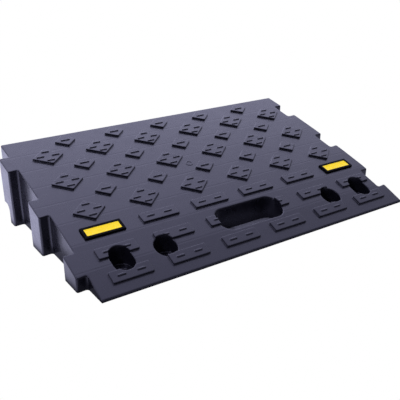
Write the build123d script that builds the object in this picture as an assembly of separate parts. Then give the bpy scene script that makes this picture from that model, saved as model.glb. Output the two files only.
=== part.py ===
from build123d import *
import math
import os

# A one-sided modular kerb ramp: a wedge-shaped rubber moulding that rises from a thin
# front lip to a square back, with three dovetail tabs on its left side, three matching
# sockets on its right side, raised tread studs and bars on its deck, a hand slot, four
# deep fixing pockets, and two yellow reflectors in black frames near the front.
#
# Frame: millimetres, +Z up, ground at z = 0, x = 0 on the middle of the deck, y = 0
# half-way between the front lip and the back. The traffic side faces -Y.

# ---------------------------------------------------------------- driving dimensions
DECK_WIDTH = 600.0        # side wall to side wall: the pitch of a row of ramps
DECK_DEPTH = 380.0        # front lip to back face
LIP_HEIGHT = 4.0          # upright edge at the very front
FACET_RISES = (20.8, 17.6, 14.6, 13.3, 12.6, 11.9, 11.3, 10.6)  # lip to back

TAB_COUNT = 3
TAB_REACH = 17.0          # how far a tab stands out of the left side
TAB_TIP_LENGTH = 44.0
TAB_ROOT_LENGTH = 41.0    # shorter than the tip, so that the tab locks
SOCKET_CLEARANCE = 0.6    # all round a tab that sits in a socket
OUTER_CORNER_R = 3.0
INNER_CORNER_R = 4.0
TOP_EDGE_R = 1.6

COLUMN_COUNT = 6
COLUMN_PITCH = 96.5
BAR_ROWS = (26.0, 68.5, 111.5)      # distance of each bar row from the lip
BAR_LENGTH = 65.0
BAR_DEPTH = 20.5
STUD_FIRST_ROW = 157.2    # front row of large studs, from the lip
STUD_ROW_PITCH = 39.2
STUD_ROW_COUNT = 6
LARGE_STUD = (28.0, 24.0)           # half diagonals along x and y
SMALL_STUD = (20.0, 17.5)
TREAD_HEIGHT = 3.2        # studs and bars above the deck
TREAD_EDGE_R = 0.7
TREAD_CORNER_R = 2.0
TREAD_ROOT = 5.0          # how far a stud's solid reaches into the deck

RIDGE_SIZE = (13.5, 3.2)  # small grip ridge on the large studs and the bars
SMALL_STUD_RIDGE = (17.0, 3.2)
RIDGE_HEIGHT = 1.5
RIDGE_END_R = 1.4
RIDGE_TOP_R = 0.6
RIDGE_ROOT = 1.0          # how far a ridge's solid reaches into its stud or bar
RIDGE_OFFSET_ON_STUD = 13.5
RIDGE_OFFSET_ON_BAR = 15.5
RIDGE_REMAINS = 0.35      # a ridge cut back by a well stays if more than this share is left

MARK_X = -21.0            # plain round moulding mark in the middle of the deck
MARK_FROM_LIP = 213.7
MARK_R = 6.5
MARK_WIDTH = 1.6
MARK_HEIGHT = 0.6

SLOT_LENGTH = 127.0       # hand slot
SLOT_WIDTH = 44.0
SLOT_FROM_LIP = 66.5
SLOT_CORNER_R = 20.0
SLOT_RIM_R = 2.5

POCKET_FROM_LIP = 51.0
INNER_POCKET_X = 170.0
INNER_POCKET_D = 36.0
OUTER_POCKET_X = 242.0
OUTER_POCKET_WIDTH = 34.0
OUTER_POCKET_LENGTH = 44.0
POCKET_RIM_R = 1.4
POCKET_FLOOR = 6.0
ANCHOR_HOLE_R = 8.0

SKIN = 10.0               # deck thickness, measured upright
WALL = 10.0               # outer walls
WELL_WALL = 8.0           # round the hand slot and the pockets
RIB = 8.0
RIB_PITCH_X = COLUMN_PITCH / 2
FRONT_LAND = 34.0         # solid strip behind the lip, where the deck is thin
FACETS = len(FACET_RISES)
FACET_DEPTH = DECK_DEPTH / FACETS

CHANNEL_FRONT = 314.0     # drain channel under the rear, from the lip
CHANNEL_WIDTH = 52.0
CHANNEL_HEIGHT = 32.0
CHANNEL_R = 12.0

REFLECTOR_ROW = BAR_ROWS[2]
FRAME_SIZE = (66.0, 24.0)
FRAME_SEAT = 2.0          # depth of the frame's seat in the deck
FRAME_ABOVE = 3.0
FRAME_CORNER_R = 1.2
LENS_SIZE = (56.5, 15.0)
LENS_THICK = 2.6
LENS_BELOW_RIM = 0.5
LENS_EDGE_R = 0.4
FIT_GAP = 0.2             # clearance round the frame and round the lens

HALF_WIDTH = DECK_WIDTH / 2
FRONT = -DECK_DEPTH / 2
BACK = DECK_DEPTH / 2
BACK_HEIGHT = LIP_HEIGHT + sum(FACET_RISES)
CLEAR = 60.0              # how far cutting tools run past the object
NEAR = 0.1                # two measures this close count as equal
RIM_BAND = 1.0            # a well's rim lies at most this far under the deck's surface


# ---------------------------------------------------------------- the deck's surface
def crease_heights():
    """Height of the deck at each facet edge, from the lip to the back."""
    heights = [LIP_HEIGHT]
    for rise in FACET_RISES:
        heights.append(heights[-1] + rise)
    return heights


def deck_at(from_lip):
    """Height and slope (degrees) of the deck at a distance from the lip."""
    facet = min(int(from_lip / FACET_DEPTH), FACETS - 1)
    rise = FACET_RISES[facet]
    height = crease_heights()[facet] + rise * (from_lip - facet * FACET_DEPTH) / FACET_DEPTH
    return height, math.degrees(math.atan2(rise, FACET_DEPTH))


def on_deck(x, from_lip):
    """Location on the deck, tilted to lie along its slope."""
    height, slope = deck_at(from_lip)
    return Location((x, FRONT + from_lip, height), (slope, 0, 0))


def wedge(drop=0.0):
    """The side profile swept across the width, lowered by drop."""
    points = [(FRONT, -CLEAR), (BACK, -CLEAR)]
    tops = [(FRONT + i * FACET_DEPTH, z - drop) for i, z in enumerate(crease_heights())]
    outline = Polyline(*points, *reversed(tops), close=True)
    face = make_face(Plane.YZ * outline)
    return extrude(face, amount=DECK_WIDTH, both=True)


# ---------------------------------------------------------------- plan outline
def dovetail_points(side_x, reach, root, tip, centre_y):
    """Four corners of a tab or socket that leaves the side wall by reach."""
    return [
        (side_x, centre_y - root / 2),
        (side_x + reach, centre_y - tip / 2),
        (side_x + reach, centre_y + tip / 2),
        (side_x, centre_y + root / 2),
    ]


def tab_centres():
    pitch = DECK_DEPTH / TAB_COUNT
    return [FRONT + pitch * (i + 0.5) for i in range(TAB_COUNT)]


def plan_outline():
    """Deck outline from above: tabs on the left, sockets on the right."""
    outline = [(-HALF_WIDTH, BACK), (HALF_WIDTH, BACK)]
    gap = SOCKET_CLEARANCE
    for y in reversed(tab_centres()):
        socket = dovetail_points(
            HALF_WIDTH, -TAB_REACH - gap, TAB_ROOT_LENGTH + 2 * gap, TAB_TIP_LENGTH + 2 * gap, y
        )
        outline += reversed(socket)
    outline += [(HALF_WIDTH, FRONT), (-HALF_WIDTH, FRONT)]
    for y in tab_centres():
        outline += dovetail_points(-HALF_WIDTH, -TAB_REACH, TAB_ROOT_LENGTH, TAB_TIP_LENGTH, y)
    face = make_face(Polyline(*outline, close=True))
    roots = [v for v in face.vertices() if is_inner_corner(v)]
    face = fillet(roots, INNER_CORNER_R)
    tips = [v for v in face.vertices() if is_outer_corner(v)]
    return fillet(tips, OUTER_CORNER_R)


def is_inner_corner(vertex):
    """Concave corners: the roots of the tabs and the depths of the sockets."""
    at_tab_root = abs(vertex.X + HALF_WIDTH) < NEAR and abs(vertex.Y) < BACK - NEAR
    in_socket = abs(vertex.X - HALF_WIDTH + TAB_REACH + SOCKET_CLEARANCE) < NEAR
    return at_tab_root or in_socket


def is_outer_corner(vertex):
    """Convex corners: the tips of the tabs and the mouths of the sockets."""
    at_tab_tip = vertex.X < -HALF_WIDTH - TAB_REACH + NEAR
    at_mouth = abs(vertex.X - HALF_WIDTH) < NEAR and abs(vertex.Y) < BACK - NEAR
    at_back = abs(vertex.Y - BACK) < NEAR
    return at_tab_tip or at_mouth or at_back


# ---------------------------------------------------------------- openings in the deck
def slot_face(grow=0.0):
    y = FRONT + SLOT_FROM_LIP
    rounded = RectangleRounded(SLOT_LENGTH + 2 * grow, SLOT_WIDTH + 2 * grow, SLOT_CORNER_R + grow)
    return Pos(0, y) * rounded


def pocket_faces(grow=0.0):
    y = FRONT + POCKET_FROM_LIP
    faces = []
    for side in (-1, 1):
        faces.append(Pos(side * INNER_POCKET_X, y) * Circle(INNER_POCKET_D / 2 + grow))
        straight = OUTER_POCKET_LENGTH - OUTER_POCKET_WIDTH
        oblong = SlotCenterToCenter(straight, OUTER_POCKET_WIDTH + 2 * grow, rotation=90)
        faces.append(Pos(side * OUTER_POCKET_X, y) * oblong)
    return faces


def upright(face, low, high):
    return extrude(Pos(0, 0, low) * face, amount=high - low)


def drain_channel():
    """Arched passage across the underside, near the back."""
    y = FRONT + CHANNEL_FRONT + CHANNEL_WIDTH / 2
    section = RectangleRounded(CHANNEL_WIDTH, 2 * CHANNEL_HEIGHT, CHANNEL_R)
    return extrude(Plane.YZ * (Pos(y, 0) * section), amount=DECK_WIDTH, both=True)


# ---------------------------------------------------------------- tread pattern
def diamond(half_diagonals):
    a, b = half_diagonals
    face = make_face(Polyline((-a, 0), (0, -b), (a, 0), (0, b), close=True))
    return fillet(face.vertices(), TREAD_CORNER_R)


def bar_outline():
    return RectangleRounded(BAR_LENGTH, BAR_DEPTH, TREAD_CORNER_R)


def ridge(size):
    """Small grip ridge with a rounded top, standing on a stud or bar."""
    length, width = size
    outline = RectangleRounded(length, width, RIDGE_END_R)
    base = Pos(0, 0, TREAD_HEIGHT - RIDGE_ROOT)
    bar = extrude(base * outline, amount=RIDGE_ROOT + RIDGE_HEIGHT)
    return fillet(bar.edges().group_by(Axis.Z)[-1], RIDGE_TOP_R)


def tread_piece(face, ridges, place, wells):
    """A stud or bar with its ridges, cut back from the wells and set on the deck."""
    tools = [place.inverse() * well for well in wells]
    pad = extrude(Pos(0, 0, -TREAD_ROOT) * face, amount=TREAD_HEIGHT + TREAD_ROOT)
    if tools:
        pad = pad.cut(*tools)
    pad = fillet(pad.edges().group_by(Axis.Z)[-1], TREAD_EDGE_R)
    for bar in ridges:
        rest = bar.cut(*tools) if tools else bar
        if rest.volume > RIDGE_REMAINS * bar.volume:
            pad = pad.fuse(rest)
    return place * pad


def columns(count):
    return [(i - (count - 1) / 2) * COLUMN_PITCH for i in range(count)]


def studs():
    """Rows of large and small diamond studs, set by turns."""
    step = RIDGE_OFFSET_ON_STUD
    spots = [(-step, 0), (step, 0), (0, -step), (0, step)]
    large_ridges = [Pos(x, y, 0) * ridge(RIDGE_SIZE) for x, y in spots]
    pieces = []
    for row in range(STUD_ROW_COUNT):
        from_lip = STUD_FIRST_ROW + row * STUD_ROW_PITCH
        if row % 2 == 0:
            kind, ridges, count = diamond(LARGE_STUD), large_ridges, COLUMN_COUNT
        else:
            kind, ridges, count = diamond(SMALL_STUD), [ridge(SMALL_STUD_RIDGE)], COLUMN_COUNT - 1
        for x in columns(count):
            pieces.append(tread_piece(kind, ridges, on_deck(x, from_lip), []))
    return pieces


def bars(wells):
    """Three rows of bars; the reflectors take the end places of the last row."""
    ridges = [Pos(side * RIDGE_OFFSET_ON_BAR, 0, 0) * ridge(RIDGE_SIZE) for side in (-1, 1)]
    pieces = []
    for from_lip in BAR_ROWS:
        places = columns(COLUMN_COUNT)
        if from_lip == REFLECTOR_ROW:
            places = places[1:-1]
        for x in places:
            near = wells if from_lip < REFLECTOR_ROW else []
            pieces.append(tread_piece(bar_outline(), ridges, on_deck(x, from_lip), near))
    return pieces


def moulding_mark():
    """Plain round ring where the moulding was fed."""
    disc = Pos(0, 0, -TREAD_ROOT) * Circle(MARK_R)
    centre = extrude(Circle(MARK_R - MARK_WIDTH), amount=CLEAR)
    ring = extrude(disc, amount=TREAD_ROOT + MARK_HEIGHT) - centre
    return on_deck(MARK_X, MARK_FROM_LIP) * ring


# ---------------------------------------------------------------- reflectors
def reflector_places():
    ends = columns(COLUMN_COUNT)
    return {"left": on_deck(ends[0], REFLECTOR_ROW), "right": on_deck(ends[-1], REFLECTOR_ROW)}


def frame_seat():
    length, depth = FRAME_SIZE
    outline = Rectangle(length + 2 * FIT_GAP, depth + 2 * FIT_GAP)
    return extrude(Pos(0, 0, -FRAME_SEAT) * outline, amount=FRAME_SEAT + CLEAR)


def reflector_frame():
    """Black tray that sits in the deck and holds the lens."""
    length, depth = FRAME_SIZE
    outline = RectangleRounded(length, depth, FRAME_CORNER_R)
    tray = extrude(Pos(0, 0, -FRAME_SEAT) * outline, amount=FRAME_SEAT + FRAME_ABOVE)
    tray = fillet(tray.edges().group_by(Axis.Z)[-1], TREAD_EDGE_R)
    recess = RectangleRounded(LENS_SIZE[0] + 2 * FIT_GAP, LENS_SIZE[1] + 2 * FIT_GAP, FRAME_CORNER_R)
    floor = FRAME_ABOVE - LENS_BELOW_RIM - LENS_THICK
    return tray - extrude(Pos(0, 0, floor) * recess, amount=CLEAR)


def reflector_lens():
    """Yellow retroreflective plate with softened edges."""
    floor = FRAME_ABOVE - LENS_BELOW_RIM - LENS_THICK
    outline = RectangleRounded(*LENS_SIZE, FRAME_CORNER_R)
    plate = extrude(Pos(0, 0, floor) * outline, amount=LENS_THICK)
    return fillet(plate.edges().group_by(Axis.Z)[-1], LENS_EDGE_R)


# ---------------------------------------------------------------- body
def top_rim(solid):
    """The edge round the deck; the round runs on from edge to edge."""
    return [edge for edge in solid.edges() if edge.center().Z > BACK_HEIGHT - NEAR]


def well_rim(solid, face):
    """Edges where a well breaks through the deck, without the lines of its walls."""
    box = face.bounding_box()
    rim = []
    for edge in solid.edges():
        spot = edge.center()
        inside_x = box.min.X - NEAR < spot.X < box.max.X + NEAR
        inside_y = box.min.Y - NEAR < spot.Y < box.max.Y + NEAR
        wall_line = edge.geom_type == GeomType.LINE and abs((edge @ 0).Z - (edge @ 1).Z) > RIM_BAND
        if inside_x and inside_y and not wall_line and spot.Z > LIP_HEIGHT:
            if spot.Z > deck_at(spot.Y - FRONT)[0] - RIM_BAND:
                rim.append(edge)
    return rim


def rib_grid():
    """Ribs under the deck, along both directions, with the walls of the wells."""
    tall = 4 * BACK_HEIGHT
    rib_count = int(HALF_WIDTH / RIB_PITCH_X)
    ribs = [Pos(i * RIB_PITCH_X, 0) * Box(RIB, DECK_DEPTH, tall) for i in range(-rib_count, rib_count + 1)]
    for k in range(1, FACETS):
        ribs.append(Pos(0, FRONT + k * FACET_DEPTH) * Box(DECK_WIDTH, RIB, tall))
    wells = [slot_face(WELL_WALL), *pocket_faces(WELL_WALL)]
    return ribs + [upright(face, -CLEAR, 2 * BACK_HEIGHT) for face in wells]


def hollow():
    """The cells under the deck that the moulding leaves open to the ground."""
    left = -HALF_WIDTH + WALL
    right = HALF_WIDTH - TAB_REACH - SOCKET_CLEARANCE - WALL
    front, back = FRONT + FRONT_LAND, BACK - WALL
    inner = Box(right - left, back - front, 4 * BACK_HEIGHT)
    inner = Pos((left + right) / 2, (front + back) / 2) * inner
    return (inner & wedge(drop=SKIN)).cut(*rib_grid())


def ramp_body():
    body = wedge() & upright(plan_outline(), 0, 2 * BACK_HEIGHT)
    body = fillet(top_rim(body), TOP_EDGE_R)

    wells = [(slot_face(), -CLEAR, SLOT_RIM_R)]
    wells += [(face, POCKET_FLOOR, POCKET_RIM_R) for face in pocket_faces()]
    tools = []
    for face, floor, rim_r in wells:
        tool = upright(face, floor, 2 * BACK_HEIGHT)
        tools.append(tool)
        body = body - tool
        body = fillet(well_rim(body, face), rim_r)

    y = FRONT + POCKET_FROM_LIP
    for x in (-OUTER_POCKET_X, -INNER_POCKET_X, INNER_POCKET_X, OUTER_POCKET_X):
        body = body - Pos(x, y) * Cylinder(ANCHOR_HOLE_R, 4 * POCKET_FLOOR)

    body = body - hollow()
    body = body - drain_channel()
    body = body.fuse(*studs(), *bars(tools), moulding_mark())
    return body.cut(*[place * frame_seat() for place in reflector_places().values()])


def build_parts():
    parts = {"ramp_body": ramp_body()}
    for side, place in reflector_places().items():
        parts[f"reflector_frame_{side}"] = place * reflector_frame()
        parts[f"reflector_lens_{side}"] = place * reflector_lens()
    return parts


if __name__ == "__main__":
    os.makedirs("parts", exist_ok=True)
    for name, solid in build_parts().items():
        export_step(solid, f"parts/{name}.step")
        size = solid.bounding_box().size
        print(f"{name}: {solid.volume / 1000:.1f} cm3, {size.X:.1f} x {size.Y:.1f} x {size.Z:.1f} mm")
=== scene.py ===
import math

import bmesh
import bpy
from mathutils import Matrix, Vector


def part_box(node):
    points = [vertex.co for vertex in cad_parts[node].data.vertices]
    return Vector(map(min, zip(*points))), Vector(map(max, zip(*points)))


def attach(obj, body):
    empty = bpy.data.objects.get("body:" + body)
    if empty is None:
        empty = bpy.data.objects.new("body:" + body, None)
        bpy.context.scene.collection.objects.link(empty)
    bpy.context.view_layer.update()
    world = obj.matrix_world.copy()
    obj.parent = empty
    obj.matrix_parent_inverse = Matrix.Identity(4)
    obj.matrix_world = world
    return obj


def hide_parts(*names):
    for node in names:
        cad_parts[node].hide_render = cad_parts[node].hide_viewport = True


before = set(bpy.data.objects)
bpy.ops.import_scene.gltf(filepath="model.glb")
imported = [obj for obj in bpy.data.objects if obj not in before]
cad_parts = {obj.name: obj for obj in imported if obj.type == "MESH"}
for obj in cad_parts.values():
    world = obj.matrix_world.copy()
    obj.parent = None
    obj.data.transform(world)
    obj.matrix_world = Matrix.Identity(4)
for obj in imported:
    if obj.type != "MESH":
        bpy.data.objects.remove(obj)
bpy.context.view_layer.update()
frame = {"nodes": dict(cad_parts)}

MM = 0.001

# ---------------------------------------------------------------- view
CAMERA_PLACE = Vector((-0.583, -0.8367, 0.4476))
CAMERA_AZIMUTH = math.radians(-34.22)
CAMERA_ELEVATION = math.radians(23.27)
CAMERA_LENS = 55.35
SENSOR = 36.0

# ---------------------------------------------------------------- light
SKY_AZIMUTH = 80.0       # degrees from +X: the soft light comes from behind and the right
SKY_HEIGHT = 35.0
SKY_STRENGTH = 1.75
SKY_FOCUS = 3.5
LIGHT_TINT = (0.95, 0.95, 1.3, 1.0)
KEY_AZIMUTH = 196.0      # a small key light on the left rakes the edges
KEY_HEIGHT = 38.0
KEY_DISTANCE = 2.2
KEY_SIZE = 0.18
KEY_POWER = 5.5
FLOOR_HALF = 6.0
FLOOR_DROP = 0.3 * MM         # keeps the floor clear of the faces that stand on it
FLOOR_FRONT = (-0.32, 0.2)    # place along Y, and the floor's glow there
FLOOR_BACK = (0.12, 1.55)
FLOOR_REACH = (0.7, 1.6)      # the glow fades between these distances
FLOOR_FAR = 0.1               # what is left of it beyond them
FLOOR_CONTACT = (0.0, 0.01)   # and close round the ramp, where painted shade stands for the ramp shading the floor there
FLOOR_SHADED = 0.15           # what is left of it there
SHADE_INSET = 35 * MM         # the dark patch stays this far inside the ramp's outline
SHADE_COLOUR = (0.3, 0.3, 0.33, 1.0)

# ---------------------------------------------------------------- rubber
GRAIN = (2200.0, 0.0018 * MM)   # a noise's scale per metre, and its depth
SWELL = (28.0, 0.22 * MM)       # slow unevenness of a thick moulding
BLOTCH = (75.0, 4.0)            # scale and detail of the patches in its finish
DECK_FRONT = -190 * MM
FACET_DEPTH = 47.5 * MM         # the deck bends along a crease this often
CREASE = (2.4 * MM, 0.13 * MM)  # half the width of a crease, and its depth
EDGE_ROUND = 2.3 * MM
UPRIGHT_LIMITS = (0.8, 0.9)     # faces whose normal rises less than this have no creases
EDGE_LIMITS = (0.75, 0.995)     # how alike the sharp and the rounded normal are at an edge and off it
RUBBER_DARK = (0.008, 0.008, 0.012, 1.0)
RUBBER_PALE = (0.011, 0.0105, 0.016, 1.0)
RUBBER_WORN_AND_SHEEN = (0.04, 0.039, 0.05, 1.0)
RUBBER_ROUGHNESS = (0.25, 0.32)
WEAR_AND_SHEEN_LIMITS = (0.35, 0.65)
WEAR_AND_SHEEN = (0.25, 1.0)              # share of an edge's wear and painted sheen in its least and most worn patches
PATCH_LIMITS = (0.3, 0.7)       # a noise is spread out between these values

# ---------------------------------------------------------------- reflector frames
FRAME_DARK = (0.0035, 0.0032, 0.0034, 1.0)
FRAME_EDGE_PALE = (0.012, 0.011, 0.012, 1.0)
FRAME_ROUGHNESS = (0.5, 0.6)
FRAME_GRAIN = (1400.0, 0.01 * MM)
FRAME_ROUND = 0.5 * MM

# ---------------------------------------------------------------- lens
FACET_RISE = 14.6 * MM          # of the facet that the reflectors lie on
DECK_SLOPE = math.atan2(FACET_RISE, FACET_DEPTH)
LENS_THICK = 2.6 * MM
LENS_RIM = 1.1 * MM
PRISM_PITCH = 2.3 * MM
PRISM_HEIGHT = 0.35 * MM
LENS_EDGE = 0.3 * MM
LENS_ROUND = 0.9 * MM
LENS_YELLOW = (0.92, 0.66, 0.004, 1.0)
LENS_AMBER = (0.86, 0.6, 0.004, 1.0)
LENS_RIM_HIGHLIGHT = (0.95, 0.8, 0.25, 1.0)
LENS_PAINTED_GLOW = (1.0, 0.74, 0.002, 1.0)
LENS_PAINTED_GLOW_STRENGTH = (0.42, 0.5)
LENS_CLOUD = (160.0, 3.0)


def direction(azimuth, height):
    """Unit vector towards a place on the sky, in degrees."""
    turn, rise = math.radians(azimuth), math.radians(height)
    return Vector((math.cos(turn) * math.cos(rise), math.sin(turn) * math.cos(rise), math.sin(rise)))


def make_camera():
    back = Vector(
        (
            math.sin(CAMERA_AZIMUTH) * math.cos(CAMERA_ELEVATION),
            -math.cos(CAMERA_AZIMUTH) * math.cos(CAMERA_ELEVATION),
            math.sin(CAMERA_ELEVATION),
        )
    )
    data = bpy.data.cameras.new("camera")
    data.lens = CAMERA_LENS
    data.sensor_width = SENSOR
    data.clip_start = 0.01
    camera = bpy.data.objects.new("camera", data)
    camera.matrix_world = Matrix.Translation(CAMERA_PLACE) @ back.to_track_quat("Z", "Y").to_matrix().to_4x4()
    bpy.context.scene.collection.objects.link(camera)
    bpy.context.scene.camera = camera


# ---------------------------------------------------------------- shader helpers
class Nodes:
    """A node tree, with short calls to add and join nodes."""

    def __init__(self, tree):
        self.tree = tree

    def add(self, kind, settings=None, **values):
        """A new node; values are numbers and colours, or outputs of other nodes."""
        made = self.tree.nodes.new(kind)
        for key, value in (settings or {}).items():
            setattr(made, key, value)
        for key, value in values.items():
            self.feed(made, key.replace("_", " "), value)
        return made

    def feed(self, node, socket, value):
        target = node.inputs[int(socket[1:]) if socket[0] == "i" and socket[1:].isdigit() else socket]
        if isinstance(value, bpy.types.NodeSocket):
            self.tree.links.new(value, target)
        else:
            target.default_value = value

    def math(self, operation, *values):
        inputs = {f"i{index}": value for index, value in enumerate(values)}
        return self.add("ShaderNodeMath", {"operation": operation}, **inputs).outputs[0]

    def vector(self, operation, *values):
        inputs = {f"i{index}": value for index, value in enumerate(values)}
        return self.add("ShaderNodeVectorMath", {"operation": operation}, **inputs).outputs

    def dot(self, first, second):
        return self.vector("DOT_PRODUCT", first, second)["Value"]

    def smooth(self, value, low, high, low_result=0.0, high_result=1.0):
        """Eases from one result to another as the value passes from low to high."""
        settings = {"interpolation_type": "SMOOTHSTEP"}
        limits = {"i1": low, "i2": high, "i3": low_result, "i4": high_result}
        return self.add("ShaderNodeMapRange", settings, i0=value, **limits).outputs[0]


class Material(Nodes):
    """A material around one Principled shader."""

    def __init__(self, name):
        self.data = bpy.data.materials.new(name)
        self.data.use_nodes = True
        super().__init__(self.data.node_tree)
        self.shader = self.tree.nodes["Principled BSDF"]

    def set(self, **values):
        for key, value in values.items():
            self.feed(self.shader, key.replace("_", " "), value)


def paint(thing, material):
    thing.data.materials.clear()
    thing.data.materials.append(material)


# ---------------------------------------------------------------- materials
def noise(material, place, scale, detail=2.0):
    """A soft random pattern between 0 and 1."""
    return material.add("ShaderNodeTexNoise", Vector=place, Scale=scale, Detail=detail).outputs[0]


def between(material, share, low, high):
    """A colour between two others."""
    mixer = material.add("ShaderNodeMix", {"data_type": "RGBA"}, Factor=share)
    material.feed(mixer, "i6", low)
    material.feed(mixer, "i7", high)
    return mixer.outputs[2]


def edges(material, radius):
    """The normal with its edges rounded off, and how near an edge is, from 0 to 1."""
    rounded = material.add("ShaderNodeBevel", {"samples": 8}, Radius=radius).outputs[0]
    flat = material.add("ShaderNodeNewGeometry").outputs["Normal"]
    same = material.dot(rounded, flat)
    return rounded, material.smooth(same, *EDGE_LIMITS, 1.0, 0.0)


def creases(material, place):
    """1 on each crease of the deck, fading to 0 beside it, and 0 on the upright faces."""
    along = material.add("ShaderNodeSeparateXYZ", i0=place).outputs["Y"]
    flat = material.add("ShaderNodeNewGeometry").outputs["Normal"]
    rise = material.add("ShaderNodeSeparateXYZ", i0=flat).outputs["Z"]
    from_front = material.math("SUBTRACT", along, DECK_FRONT)
    beside = material.math("PINGPONG", from_front, FACET_DEPTH / 2)
    line = material.smooth(beside, 0.0, CREASE[0], 1.0, 0.0)
    return material.math("MULTIPLY", line, material.smooth(rise, *UPRIGHT_LIMITS))


def rubber_material():
    """Moulded black rubber: satin, slightly uneven, a little paler on its edges, partly wear and partly a
    painted highlight.
    """
    rubber = Material("black_rubber")
    place = rubber.add("ShaderNodeTexCoord").outputs["Object"]
    rounded, edge = edges(rubber, EDGE_ROUND)
    swell = noise(rubber, place, SWELL[0])
    blotch = noise(rubber, place, *BLOTCH)
    height = rubber.math("MULTIPLY", noise(rubber, place, GRAIN[0]), GRAIN[1])
    height = rubber.math("MULTIPLY_ADD", swell, SWELL[1], height)
    height = rubber.math("MULTIPLY_ADD", creases(rubber, place), -CREASE[1], height)
    bump = rubber.add("ShaderNodeBump", Height=height, Distance=1.0, Normal=rounded).outputs[0]
    # paler edges: partly wear, partly a painted highlight along every edge
    wear_and_sheen = rubber.math("MULTIPLY", edge, rubber.smooth(blotch, *WEAR_AND_SHEEN_LIMITS, *WEAR_AND_SHEEN))
    fresh = between(rubber, rubber.smooth(blotch, *PATCH_LIMITS), RUBBER_DARK, RUBBER_PALE)
    rubber.set(Base_Color=between(rubber, wear_and_sheen, fresh, RUBBER_WORN_AND_SHEEN))
    rubber.set(Roughness=rubber.smooth(blotch, *PATCH_LIMITS, *RUBBER_ROUGHNESS), Normal=bump)
    rubber.set(IOR=1.58, Specular_Tint=(0.88, 0.87, 1.0, 1.0))
    return rubber.data


def frame_material():
    """Plain black moulded plastic."""
    black = Material("black_frame")
    place = black.add("ShaderNodeTexCoord").outputs["Object"]
    rounded, edge = edges(black, FRAME_ROUND)
    grain = noise(black, place, FRAME_GRAIN[0])
    height = black.math("MULTIPLY", grain, FRAME_GRAIN[1])
    bump = black.add("ShaderNodeBump", Height=height, Distance=1.0, Normal=rounded).outputs[0]
    # paler along every edge
    black.set(Base_Color=between(black, edge, FRAME_DARK, FRAME_EDGE_PALE))
    black.set(Roughness=black.smooth(grain, *PATCH_LIMITS, *FRAME_ROUGHNESS), Normal=bump)
    black.set(IOR=1.45, Specular_IOR_Level=0.05)
    return black.data


def lens_material():
    """Yellow prismatic plastic with a painted highlight, paler yellow, round its rim; a painted glow stands
    in for the light that it sends back.
    """
    yellow = Material("yellow_reflector")
    place = yellow.add("ShaderNodeTexCoord").outputs["Object"]
    cloud = yellow.smooth(noise(yellow, place, *LENS_CLOUD), *PATCH_LIMITS)
    _, edge = edges(yellow, LENS_ROUND)
    body = between(yellow, cloud, LENS_YELLOW, LENS_AMBER)
    # painted highlight: paler yellow round the rim
    yellow.set(Base_Color=between(yellow, edge, body, LENS_RIM_HIGHLIGHT))
    yellow.set(Roughness=0.3, IOR=1.49, Specular_IOR_Level=0.25)
    # painted glow: the emission stands in for the light that the reflector sends back
    yellow.set(Emission_Color=LENS_PAINTED_GLOW)
    yellow.set(Emission_Strength=yellow.smooth(cloud, 0.0, 1.0, *LENS_PAINTED_GLOW_STRENGTH))
    return yellow.data


# ---------------------------------------------------------------- reflector faces
def prism_field(shape, size, top, floor):
    """Rows of low square prisms, level with the top along their outline; returns the grid of corners."""
    count = [round(length / PRISM_PITCH) for length in size]
    grid = []
    for row in range(count[1] + 1):
        line = []
        for column in range(count[0] + 1):
            on_rim = row in (0, count[1]) or column in (0, count[0])
            x = size[0] * (column / count[0] - 0.5)
            y = size[1] * (row / count[1] - 0.5)
            line.append(shape.verts.new((x, y, top if on_rim else floor)))
        grid.append(line)
    for row in range(count[1]):
        for column in range(count[0]):
            near, far = grid[row], grid[row + 1]
            cell = (near[column], near[column + 1], far[column + 1], far[column])
            middle = sum((corner.co for corner in cell), Vector()) / 4
            peak = shape.verts.new((middle.x, middle.y, top))
            for first, second in zip(cell, cell[1:] + cell[:1]):
                shape.faces.new((first, second, peak))
    return grid


def lens_mesh(width, depth):
    """A plate with a rounded rim and a field of prisms in its top."""
    top = LENS_THICK / 2
    shape = bmesh.new()
    grid = prism_field(shape, (width - 2 * LENS_RIM, depth - 2 * LENS_RIM), top, top - PRISM_HEIGHT)
    signs = ((-1, -1), (1, -1), (1, 1), (-1, 1))
    upper = [shape.verts.new((sx * width / 2, sy * depth / 2, top)) for sx, sy in signs]
    lower = [shape.verts.new((sx * width / 2, sy * depth / 2, -LENS_THICK / 2)) for sx, sy in signs]
    sides = (grid[0], [line[-1] for line in grid], grid[-1][::-1], [line[0] for line in grid][::-1])
    for index, inner in enumerate(sides):
        after = (index + 1) % 4
        shape.faces.new([upper[index], upper[after]] + inner[::-1])
        shape.faces.new((lower[index], lower[after], upper[after], upper[index]))
    shape.faces.new(lower[::-1])
    rim = [edge for edge in shape.edges if all(corner in upper for corner in edge.verts)]
    rim += [shape.edges.get((upper[index], lower[index])) for index in range(4)]
    bmesh.ops.bevel(shape, geom=rim, offset=LENS_EDGE, segments=3, profile=0.5, affect="EDGES")
    mesh = bpy.data.meshes.new("reflector_face")
    shape.to_mesh(mesh)
    shape.free()
    return mesh


def make_lens(side, material):
    """The prismatic face of one reflector, in the place of its plain plate."""
    node = f"reflector_lens_{side}"
    low, high = (Vector(corner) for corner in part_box(node))
    size = high - low
    depth = (size.y - LENS_THICK * math.sin(DECK_SLOPE)) / math.cos(DECK_SLOPE)
    mesh = lens_mesh(size.x, depth)
    mesh.materials.append(material)
    lens = bpy.data.objects.new(f"prism_face_{side}", mesh)
    lens.matrix_world = Matrix.Translation((low + high) / 2) @ Matrix.Rotation(DECK_SLOPE, 4, "X")
    bpy.context.scene.collection.objects.link(lens)
    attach(lens, "root")
    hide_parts(node)


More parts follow.
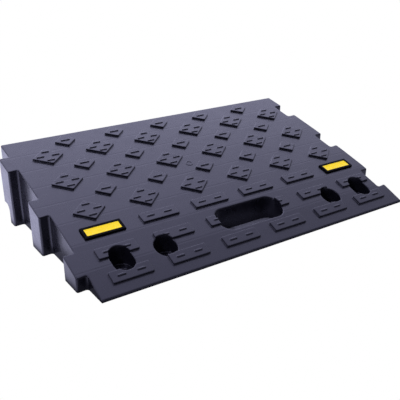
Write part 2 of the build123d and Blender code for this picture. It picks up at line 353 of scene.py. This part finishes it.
# ---------------------------------------------------------------- studio
def glow(nodes, seen, strength):
    """Plain white to the camera; everything else gets the studio's light from it."""
    white = nodes.add("ShaderNodeEmission", Color=(1.0, 1.0, 1.0, 1.0), Strength=seen)
    lit = nodes.add("ShaderNodeEmission", Color=LIGHT_TINT, Strength=strength)
    eye = nodes.add("ShaderNodeLightPath").outputs["Is Camera Ray"]
    return nodes.add("ShaderNodeMixShader", i0=eye, i1=lit.outputs[0], i2=white.outputs[0]).outputs[0]


def seen_from_above(nodes, surface):
    """Makes a floor that can be looked through from below."""
    below = nodes.add("ShaderNodeNewGeometry").outputs["Backfacing"]
    clear = nodes.add("ShaderNodeBsdfTransparent")
    mixed = nodes.add("ShaderNodeMixShader", i0=below, i1=surface, i2=clear.outputs[0])
    nodes.feed(nodes.tree.nodes["Material Output"], "Surface", mixed.outputs[0])


def floor_material():
    floor = Material("pale_floor")
    place = floor.add("ShaderNodeTexCoord").outputs["Object"]
    along = floor.add("ShaderNodeSeparateXYZ", i0=place).outputs["Y"]
    away = floor.vector("LENGTH", place)["Value"]
    low, high = (Vector(corner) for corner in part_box("ramp_body"))
    centre, half = (low + high) / 2, (high - low) / 2
    centre.z = 0.0
    beyond = floor.vector("SUBTRACT", place, centre)[0]
    beyond = floor.vector("SUBTRACT", floor.vector("ABSOLUTE", beyond)[0], half)[0]
    beyond = floor.vector("MAXIMUM", beyond, (0.0, 0.0, 0.0))[0]
    gap = floor.vector("LENGTH", beyond)["Value"]
    (front, front_glow), (back, back_glow) = FLOOR_FRONT, FLOOR_BACK
    strength = floor.smooth(along, front, back, front_glow, back_glow)
    strength = floor.math("MULTIPLY", strength, floor.smooth(away, *FLOOR_REACH, 1.0, FLOOR_FAR))
    # painted shade: the floor's glow is dimmed close round the ramp
    strength = floor.math("MULTIPLY", strength, floor.smooth(gap, *FLOOR_CONTACT, FLOOR_SHADED, 1.0))
    seen_from_above(floor, glow(floor, 1.0, strength))
    return floor.data


def shade_material():
    """Painted shade: the ground under the ramp, where no light reaches, as a patch that does not glow like
    the rest of the floor.
    """
    shade = Material("shaded_floor")
    shade.set(Base_Color=SHADE_COLOUR, Roughness=1.0)
    seen_from_above(shade, shade.shader.outputs[0])
    return shade.data


def make_floor():
    """A wide floor with a dark patch of painted shade, hidden under the ramp, in its middle."""
    low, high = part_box("ramp_body")
    columns = (-FLOOR_HALF, low[0] + SHADE_INSET, high[0] - SHADE_INSET, FLOOR_HALF)
    rows = (-FLOOR_HALF, low[1] + SHADE_INSET, high[1] - SHADE_INSET, FLOOR_HALF)
    corners = [(x, y, -FLOOR_DROP) for y in rows for x in columns]
    wide = len(columns)
    faces = []
    for row in range(len(rows) - 1):
        for column in range(wide - 1):
            first = row * wide + column
            faces.append((first, first + 1, first + wide + 1, first + wide))
    mesh = bpy.data.meshes.new("floor")
    mesh.from_pydata(corners, [], faces)
    mesh.materials.append(floor_material())
    mesh.materials.append(shade_material())
    # the middle face takes the painted shade
    mesh.polygons[len(faces) // 2].material_index = 1
    floor = bpy.data.objects.new("floor", mesh)
    bpy.context.scene.collection.objects.link(floor)


def soft_box(name, azimuth, height, distance, size, power):
    light = bpy.data.lights.new(name, "AREA")
    light.size = size
    light.energy = power
    light.color = LIGHT_TINT[:3]
    lamp = bpy.data.objects.new(name, light)
    towards = direction(azimuth, height)
    turn = towards.to_track_quat("Z", "Y").to_matrix().to_4x4()
    lamp.matrix_world = Matrix.Translation(towards * distance) @ turn
    bpy.context.scene.collection.objects.link(lamp)


def make_world():
    """One broad soft light behind the ramp that fades round to the front."""
    world = bpy.data.worlds.new("studio")
    bpy.context.scene.world = world
    world.use_nodes = True
    nodes = Nodes(world.node_tree)
    towards = nodes.add("ShaderNodeTexCoord").outputs["Generated"]
    middle = tuple(direction(SKY_AZIMUTH, SKY_HEIGHT))
    facing = nodes.dot(towards, middle)
    share = nodes.math("MULTIPLY_ADD", facing, 0.5, 0.5)
    lobe = nodes.math("POWER", nodes.math("MAXIMUM", share, 0.0), SKY_FOCUS)
    strength = nodes.math("MULTIPLY", lobe, SKY_STRENGTH)
    lit = nodes.add("ShaderNodeBackground", Color=LIGHT_TINT, Strength=strength)
    white = nodes.add("ShaderNodeBackground", Color=(1.0, 1.0, 1.0, 1.0), Strength=1.0)
    eye = nodes.add("ShaderNodeLightPath").outputs["Is Camera Ray"]
    mixed = nodes.add("ShaderNodeMixShader", i0=eye, i1=lit.outputs[0], i2=white.outputs[0])
    nodes.feed(nodes.tree.nodes["World Output"], "Surface", mixed.outputs[0])


def main():
    bpy.context.scene.view_settings.view_transform = "Standard"
    make_camera()
    make_world()
    make_floor()
    soft_box("key", KEY_AZIMUTH, KEY_HEIGHT, KEY_DISTANCE, KEY_SIZE, KEY_POWER)
    nodes = frame["nodes"]
    rubber, black, yellow = rubber_material(), frame_material(), lens_material()
    paint(nodes["ramp_body"], rubber)
    for side in ("left", "right"):
        paint(nodes[f"reflector_frame_{side}"], black)
        paint(nodes[f"reflector_lens_{side}"], yellow)
        make_lens(side, yellow)


main()
